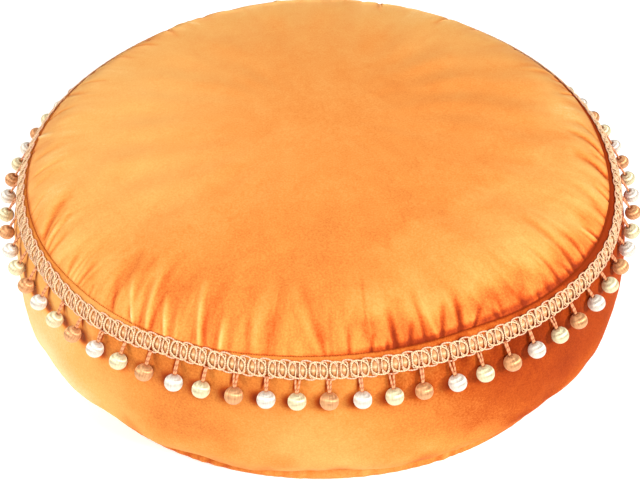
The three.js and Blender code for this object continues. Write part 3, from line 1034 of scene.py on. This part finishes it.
# Painted shade on the wall under the braid: how much, and half width.
UNDER_BRAID, UNDER_BRAID_HALF = 0.5, 5
STRIP_END, STRIP_FADE = 9, 4
RIM_START, RIM_FADE, RIM_TONE = 0.72, 0.24, 0.1  # the top's streaked rim
# Painted shade in the folds' troughs and painted light on their ridges: tone per millimetre of
# relief, and its limits.
FOLD_TONE, FOLD_DARKEST, FOLD_LIGHTEST = 0.95, -1.6, 1.2


# The top's painted light and shade: patches, and painted sheen at the front right.
def top_tone(theta, s):
    angle = seen_angle(theta)
    share = section(s)[0] / TOP_SEAM_RADIUS
    wandered = angle + PATCH_WANDER * slow_waves(theta, s, **PATCH_TURN)
    shifted = share + PATCH_STRAY * slow_waves(theta, s, **PATCH_SHIFT)
    tone = TOP_TONE + 0 * theta
    for p in TOP_PATCHES:
        across = turn_between(wandered, p["angle"]) / p["half_angle"]
        along = (shifted - p["share"]) / p["half_share"]
        tone = tone + p["tone"] * np.exp(-(across**4)) * bell(along)
    # painted sheen at the front right of the top
    edge = np.interp(angle, LIGHT_EDGE_ANGLE, LIGHT_EDGE_SHARE)
    ends = step_up((wandered - LIGHT_START) / LIGHT_END_FADE)
    ends = ends * step_up((LIGHT_END - wandered) / LIGHT_END_FADE)
    inner = step_up((shifted - edge) / LIGHT_FADE + LIGHT_LEAD)
    return tone + LIGHT_TONE * inner * step_up((LIGHT_RIM - share) / LIGHT_RIM_FADE) * ends


# The wall's tone: painted light and shade round the wall, on the roll, along the seams and under
# the braid.
def wall_tone(theta, s):
    height = section(s)[1]
    wandered = seen_angle(theta) + WALL_SHADE_WANDER * slow_waves(theta, s, **WALL_SHADE_TURN)
    wandered = np.where(wandered > WALL_SHADE_SEAM, wandered - 360, wandered)
    angles = [row["angle"] for row in WALL_LIGHT_AND_SHADE]
    lay, middle, high = (
        np.interp(wandered, angles, [row[level] for row in WALL_LIGHT_AND_SHADE]) for level in WALL_SHADE_LEVELS[1:]
    )
    for level, (start, reach) in ((middle, MIDDLE_START), (high, HIGH_START)):
        lay = lay + (level - lay) * step_up((height - start) / reach)
    # painted light and shade on the roll, lighter on its gathers' ridges and darker in their
    # creases
    roll = at_angle(ROLL_TONE, theta) + ROLL_GATHER_TONE * roll_gathers(theta, s)
    lay = lay + roll * step_up((s - FOOT_SEAM + 1) / 2)
    # painted highlight above the foot seam and painted shadow line at it
    lay = lay + bump_at(s, *FOOT_LIP) + bump_at(s, *FOOT_LINE)
    # painted light and shade on the strip between the seam and the braid
    lay = lay + (at_angle(STRIP_TONE, theta) - lay) * step_up((STRIP_END - s) / STRIP_FADE)
    # painted shade under the braid
    return lay - bump_at(s, UNDER_BRAID, at_angle(BRAID_PATH, theta), UNDER_BRAID_HALF)


def velvet_body(cover):
    rows = rows_between(BODY_BANDS)
    rings, tones, streaks = [], [0.0], [0.0]
    for place, count in rows:
        theta = angles_round(count)
        s = np.full(count, place)
        height, folds = body_relief(cover, theta, s)
        ring = surface(theta, s + at_angle(SEAM_PATH, theta) * bell(s / SEAM_PULL), height)
        ring[:, 2] = np.maximum(ring[:, 2], 0)
        rings.append(ring)
        tone = top_tone(theta, s) if place < 0 else wall_tone(theta, s)
        share = section(s)[0] / TOP_SEAM_RADIUS
        rim = step_up((share - RIM_START) / RIM_FADE) if place < 0 else 0 * share
        # painted shade in the cleft along the top seam, and a darker line at the seam
        cleft = (s - at_angle(CLEFT_MIDDLE, theta)) / at_angle(CLEFT_HALF, theta)
        tone = tone - at_angle(CLEFT, theta) * bell(cleft) + bump_at(s, *SEAM_LINE)
        # painted shade in the folds' troughs and painted light on their ridges
        tone = tone + np.clip(FOLD_TONE * folds, FOLD_DARKEST, FOLD_LIGHTEST) + RIM_TONE * rim
        tones += tone.tolist()
        streaks += rim.tolist()
    top = rings[0].mean(0) * [1, 1, 0] + [0, 0, TOP_SEAM_HEIGHT + EDGE_PUFF + DOME_RISE]
    bottom = rings[-1].mean(0) * [1, 1, 0]
    points = np.concatenate([top[None], *rings, bottom[None]])
    tones[0] = float(np.mean(tones[1 : 1 + rows[0][1]]))
    tones.append(0.0)
    streaks.append(0.0)
    end, last = len(points) - 1, rows[-1][1]
    start = end - last
    faces = skin_faces(rows) + [(end, start + (a + 1) % last, start + a) for a in range(last)]
    made = mesh_from("velvet_body", points, faces, TOP_VELVET)
    made.data.materials.append(WALL_VELVET)
    first_wall = 1 + sum(count for s, count in rows if s < 0)
    on_wall = [int(min(f) >= first_wall) for f in faces]
    made.data.polygons.foreach_set("material_index", on_wall)
    for name, values in (("tone", tones), ("streaky", streaks)):
        made.data.attributes.new(name, "FLOAT", "POINT").data.foreach_set("value", values)
    return made


# The braid: two chains of overlapping rings, with two upright ovals round satin cores in each ring,
# and dark threads where neighbouring rings meet: partly real thread, partly painted shade in the
# slits between the rings.
BRAID_RADIUS = 241.5
RING_COUNT = int(BEAD_COUNT * RINGS_PER_BEAD)  # the last half ring is lapped at the back
RING_PITCH = 2 * math.pi * BRAID_RADIUS / (BEAD_COUNT * RINGS_PER_BEAD)
RING_START = FIRST_BEAD_ANGLE - 0.5 * RING_PITCH / BRAID_RADIUS
# The loops of cord: half width in pitches, half height, height over the velvet, how far they weave
# over and under and from which phase, points in a loop, squareness (less is squarer), and how far
# the top and the bottom lie to either side of the middle.
LOOP = ("half_wide", "half_tall", "lift", "wave", "phase", "steps", "square", "lean")
LEAN = 0.13 * RING_PITCH
CREAM_LOOP, PINK_LOOP, OVAL_LOOP = named_rows(LOOP, (
    (0.44, 5.65, 1.45, 0.2, 0.0, 48, 0.95, LEAN),
    (0.43, 6.45, 0.85, 0.25, 3.14, 48, 0.85, LEAN),
    (0.165, 5.2, 1.0, 0.1, 0.0, 30, 0.42, 0),
))
RING_CORD, OVAL_CORD_SIZE = (0.5, 7), (0.44, 6)  # radius and sides
UPRIGHT = ("half_tall", "lift", "bulge", "swell", "steps")
CORE_UPRIGHT, SLIT_UPRIGHT = named_rows(UPRIGHT, (
    (4.7, -1.4, 0.3, 2.4, 13),
    (4.4, 0.4, 0.1, 0.45, 9),
))
UPRIGHT_SIDES = 8
UPRIGHT_END = 0.25  # the radius at its ends, as a share of its swell
RING_STRAY, OVAL_STRAY = 0.012, 0.008  # in pitches


def loops(centres, half_wide, half_tall, lift, wave, phase, steps, square, lean):
    """Closed loops of cord round the pouf: squarish ellipses with upright sides, whose tops and
    bottoms are drawn to either side, woven over and under."""
    t = angles_round(steps)
    sin, cos = np.sin(t), np.cos(t)
    v = half_tall * (np.sign(sin) * np.abs(sin) ** square)[None] * np.ones((len(centres), 1))
    u = half_wide * RING_PITCH * (np.sign(cos) * np.abs(cos) ** square)[None]
    u = u + lean * (v / half_tall) ** 3
    theta = RING_START + (centres[:, None] * RING_PITCH + u) / BRAID_RADIUS
    s = at_angle(BRAID_PATH, theta) + v
    h = lift + wave * np.cos(2 * t + phase)[None] + 0 * u
    return surface(theta, s, h), normals_at(theta, s)


def uprights(centres, half_tall, lift, bulge, swell, steps):
    """Open upright strands round the pouf, with their radii."""
    t = np.linspace(-1, 1, steps)
    v = half_tall * t[None] * np.ones((len(centres), 1))
    theta = RING_START + centres[:, None] * RING_PITCH / BRAID_RADIUS + 0 * v
    s = at_angle(BRAID_PATH, theta) + v
    radius = UPRIGHT_END + (1 - UPRIGHT_END) * np.sqrt(1 - t**2)[None]
    h = lift + bulge * (1 - t**2)[None] + 0 * v
    return surface(theta, s, h), normals_at(theta, s), swell * radius + 0 * v


def braid():
    whole = np.arange(RING_COUNT).astype(float)
    halves = np.arange(2 * RING_COUNT) / 2
    cream = whole + rng.normal(0, RING_STRAY, RING_COUNT)
    pink = whole + 0.5 + rng.normal(0, RING_STRAY, RING_COUNT)
    oval = halves + 0.25 + rng.normal(0, OVAL_STRAY, len(halves))
    cords = (
        ("braid_cream_cord", CREAM_CORD, loops(cream, **CREAM_LOOP), RING_CORD),
        ("braid_pink_cord", PINK_CORD, loops(pink, **PINK_LOOP), RING_CORD),
        ("braid_oval_cord", OVAL_CORD, loops(oval, **OVAL_LOOP), OVAL_CORD_SIZE),
    )
    strands = (
        ("braid_core", CORE_THREADS, uprights(oval, **CORE_UPRIGHT)),
        ("braid_slit_thread", SLIT_THREAD, uprights(halves, **SLIT_UPRIGHT)),
    )
    return [
        *(cord_piece(name, look, *way, *size, closed=True) for name, look, way, size in cords),
        *(cord_piece(name, look, *way, UPRIGHT_SIDES) for name, look, way in strands),
    ]


# A bead's rows from its top: two round its hole and one round its dimple, as radii and heights, and
# between them a ball, a little flattened, between two angles of its own circle.
BEAD_HOLE, BEAD_DIMPLE = ((1.2, 2.6), (1.4, 4.9)), ((0.5, -5.1),)
BEAD_TOP, BEAD_BOTTOM, BEAD_ROWS, BEAD_SIDES = 72, -80, 20, 60
BEAD_FLATNESS, BEAD_FULLNESS = 0.95, 0.9
BEAD_THREADS_ROUND, BEAD_THREAD_HEIGHT = 30, 0.05
# How unevenly the beads hang, as standard deviations: aside, down, and their swing in radians.
BEAD_ASIDE, BEAD_DROP, BEAD_SWING, BEAD_SIZE_CHANGE = 0.5, 0.35, 0.07, 0.012
HANGER_ROOT = 1.1  # height over the velvet
LOOP_END, HANGER_START = 6.3, 5.6  # down from the braid's middle


def bead_form():
    """One bead about its own axis: a wound ball with a hole at its top and a dimple below."""
    a = np.linspace(math.radians(BEAD_TOP), math.radians(BEAD_BOTTOM), BEAD_ROWS)
    ball = (BEAD_RADIUS * np.cos(a) ** BEAD_FULLNESS, BEAD_FLATNESS * BEAD_RADIUS * np.sin(a))
    r, z = np.concatenate([BEAD_HOLE, np.stack(ball, 1), BEAD_DIMPLE]).T
    around = angles_round(BEAD_SIDES)
    thread = BEAD_THREAD_HEIGHT * np.cos(BEAD_THREADS_ROUND * around)[None]
    radius = r[:, None] + thread * np.clip(r / BEAD_RADIUS, 0, 1)[:, None]
    x, y = radius * np.cos(around), radius * np.sin(around)
    points = np.stack([x, y, z[:, None] + 0 * radius], -1)
    m = len(r)
    j, k = np.meshgrid(np.arange(m - 1), np.arange(BEAD_SIDES), indexing="ij")
    k1 = (k + 1) % BEAD_SIDES
    here, below = j * BEAD_SIDES, (j + 1) * BEAD_SIDES
    faces = np.stack([here + k, below + k, below + k1, here + k1], -1).reshape(-1, 4)
    u0, u1, v0, v1 = k / BEAD_SIDES, (k + 1) / BEAD_SIDES, j / m, (j + 1) / m
    uv = np.stack([u0, v0, u0, v1, u1, v1, u1, v0], -1).reshape(-1, 2)
    floor_cap = list(range(BEAD_SIDES))
    dimple_cap = list(range((m - 1) * BEAD_SIDES, m * BEAD_SIDES))[::-1]
    uv = np.concatenate([uv, np.zeros((2 * BEAD_SIDES, 2))])
    return points.reshape(-1, 3), [*faces.tolist(), floor_cap, dimple_cap], uv


def bead_frames():
    """Each bead's centre and axes: its own axis lies along its loop, with a small swing."""
    made = []
    for i in range(BEAD_COUNT):
        theta = FIRST_BEAD_ANGLE + 2 * math.pi * i / BEAD_COUNT
        out = np.array([math.cos(theta), math.sin(theta), 0])
        side = np.array([-math.sin(theta), math.cos(theta), 0])
        centre = out * BEAD_RING_RADIUS * lobes(theta) + [0, 0, BEAD_RING_HEIGHT] + SHIFT
        centre = centre + side * rng.normal(0, BEAD_ASIDE) + [0, 0, rng.normal(0, BEAD_DROP)]
        loop_end = np.array(at_angle(BRAID_PATH, theta) + LOOP_END)
        up = surface(np.array(theta), loop_end, np.array(HANGER_ROOT)) - centre
        up /= np.linalg.norm(up)
        swing = rng.normal(0, BEAD_SWING)
        up = up * math.cos(swing) + side * math.sin(swing)
        x = np.cross(side, up)
        x /= np.linalg.norm(x)
        y = np.cross(up, x)
        spin = rng.uniform(0, 2 * math.pi)
        across = x * math.cos(spin) + y * math.sin(spin)
        axes = np.array((across, y * math.cos(spin) - x * math.sin(spin), up))
        made.append(dict(theta=theta, out=out, centre=centre, up=up, side=side, axes=axes))
    return made


def beads(frames):
    points, faces, uv = bead_form()
    pieces = []
    for first, (name, material) in enumerate(BEAD_THREADS.items()):
        parts = []
        for f in frames[first :: len(BEAD_THREADS)]:
            size = 1 + rng.normal(0, BEAD_SIZE_CHANGE)
            parts.append((f["centre"] + size * points @ f["axes"], faces, uv))
        wound, wound_faces, wound_uv = joined(parts)
        pieces.append(mesh_from(name, wound, wound_faces, material, wound_uv))
    return pieces


# The hanging loops: how many are wider apart at the bottom, the ranges of their spreads at the top
# and the bottom for those and for the others, and how far they bow aside and out.
HANGER_RADIUS, HANGER_SIDES, HANGER_POINTS = 0.72, 7, 15
WIDE_LOW_SHARE, WIDE_LOW, WIDE_HIGH = 0.4, ((0.3, 0.6), (0.7, 1.1)), ((0.7, 1.5), (0.35, 0.5))
HANGER_END = 4.4  # up from the bead's middle
BOW_ASIDE, BOW_OUT = 0.15, 0.5


def hangers(frames):
    """Two twisted cords from the braid's lower edge into each bead's hole."""
    t = np.linspace(0, 1, HANGER_POINTS)
    arch = np.sin(np.pi * t)[:, None]
    paths, ups = [], []
    for f in frames:
        spreads = WIDE_LOW if rng.random() < WIDE_LOW_SHARE else WIDE_HIGH
        high, low = (rng.uniform(*spread) for spread in spreads)
        end = f["centre"] + f["up"] * HANGER_END
        for hand in (-1, 1):
            angle = np.array(f["theta"] + hand * high / BRAID_RADIUS)
            start = at_angle(BRAID_PATH, angle) + HANGER_START
            root = surface(angle, start, np.array(HANGER_ROOT))
            foot = end + f["side"] * hand * low * 0.5
            bow = f["side"] * hand * BOW_ASIDE * arch + f["out"] * BOW_OUT * arch
            paths.append(root + (foot - root) * t[:, None] + bow)
            ups.append(np.cross(np.broadcast_to(f["side"], (len(t), 3)), foot - root))
    paths, ups = np.array(paths), np.array(ups)
    return cord_piece("hanging_loops", HANGER_CORD, paths, ups, HANGER_RADIUS, HANGER_SIDES)


STITCH_COUNT, STITCH_SIDES, STITCH_POINTS = 860, 5, 5
STITCH_HALF = 0.32  # half a stitch's length, in stitch pitches
STITCH_PLACE, STITCH_DEPTH, STITCH_ARCH = 0.12, -0.9, 0.28  # below the seam, and over the velvet
STITCH_THIN, STITCH_SWELL = 0.08, 0.14  # radius at its ends, and more in its middle


def stitches():
    """Short threads along the bottom of the top seam's valley."""
    pitch = 2 * np.pi / STITCH_COUNT
    t = np.linspace(-1, 1, STITCH_POINTS)
    theta = pitch * np.arange(STITCH_COUNT)[:, None] + STITCH_HALF * pitch * t[None]
    s = STITCH_PLACE + at_angle(SEAM_PATH, theta)
    h = STITCH_DEPTH + STITCH_ARCH * (1 - t**2)[None] + 0 * theta
    radius = STITCH_THIN + STITCH_SWELL * np.sqrt(1 - t**2)[None] + 0 * theta
    paths, ups = surface(theta, s, h), normals_at(theta, s)
    return cord_piece("seam_stitches", STITCH_THREAD, paths, ups, radius, STITCH_SIDES)


cover = settled_cover()
body = velvet_body(cover)
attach(body, "root")
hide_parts("pouf_body")

stitching = stitches()
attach(stitching, "root")

frames = bead_frames()
trim = [*braid(), *beads(frames), hangers(frames)]
for piece in trim:
    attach(piece, "root")
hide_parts("bead_trim")


# Floor, light and camera, in metres
FLOOR_HALF, FLOOR_DROP = 6.0, 0.0005
FLOOR_LOOK = {
    "Base Color": (0.93, 0.93, 0.93, 1),
    "Roughness": 0.7,
    "Emission Color": (1, 1, 1, 1),
    "Emission Strength": 0.3,  # a faintly lit studio sweep
}


def floor():
    mesh = bpy.data.meshes.new("floor")
    corners = [(x * FLOOR_HALF, y * FLOOR_HALF, 0) for x, y in ((-1, -1), (1, -1), (1, 1), (-1, 1))]
    mesh.from_pydata(corners, [], [(0, 1, 2, 3)])
    material, tree, shader = new_material("floor")
    fill(tree, shader, FLOOR_LOOK)
    mesh.materials.append(material)
    made = scene_object("floor", mesh)
    made.location.z = -FLOOR_DROP
    return made


floor()

LIGHT = ("name", "place", "size", "power", "colour")
LIGHTS = named_rows(LIGHT, (
    ("key_box", (1.25, -1.1, 1.3), (0.35, 0.35), 40, (1, 0.975, 0.94)),
    ("front_box", (-0.15, -1.55, 0.85), (0.5, 0.6), 9, (1, 0.98, 0.94)),
    ("left_box", (-1.6, -0.35, 1.1), (0.9, 0.9), 24, (1, 0.98, 0.94)),
    ("top_soft", (0, 0.1, 2.1), (1.2, 0.8), 14, (1, 1, 1)),
))
LIT_POINT = Vector((0, 0, 0.08))


def area_light(name, place, size, power, colour):
    light = bpy.data.lights.new(name, "AREA")
    light.shape = "RECTANGLE"
    light.size, light.size_y = size
    light.energy = power
    light.color = colour
    made = scene_object(name, light)
    made.location = place
    made.rotation_euler = (LIT_POINT - Vector(place)).to_track_quat("-Z", "Y").to_euler()


for row in LIGHTS:
    area_light(**row)

WORLD_LOOK = {"Color": (1, 1, 1, 1), "Strength": 0.14}
world = bpy.data.worlds.new("studio")
world.use_nodes = True
fill(world.node_tree, world.node_tree.nodes["Background"], WORLD_LOOK)
bpy.context.scene.world = world
bpy.context.scene.view_settings.view_transform = "Standard"

ELEVATION, ROLL = math.radians(44.06), math.radians(-1.11)
DISTANCE, ACROSS, RISE = 2.75, -0.0006, 0.2735  # in radii of the ring of beads
LENS, SENSOR = 45.9, 36
back = Vector((0, -math.cos(ELEVATION), math.sin(ELEVATION)))
up = Vector((0, math.sin(ELEVATION), math.cos(ELEVATION)))
right = Vector((1, 0, 0))
ring_centre = Vector(SHIFT * MM) + Vector((0, 0, BEAD_RING_HEIGHT * MM))
camera = scene_object("camera", bpy.data.cameras.new("camera"))
camera.data.lens = LENS
camera.data.sensor_width = SENSOR
offset = DISTANCE * back - ACROSS * right - RISE * up
camera.location = ring_centre + BEAD_RING_RADIUS * MM * offset
axes = Matrix((right, up, back)).transposed()
camera.rotation_euler = (axes @ Matrix.Rotation(ROLL, 3, "Z")).to_euler()
bpy.context.scene.camera = camera
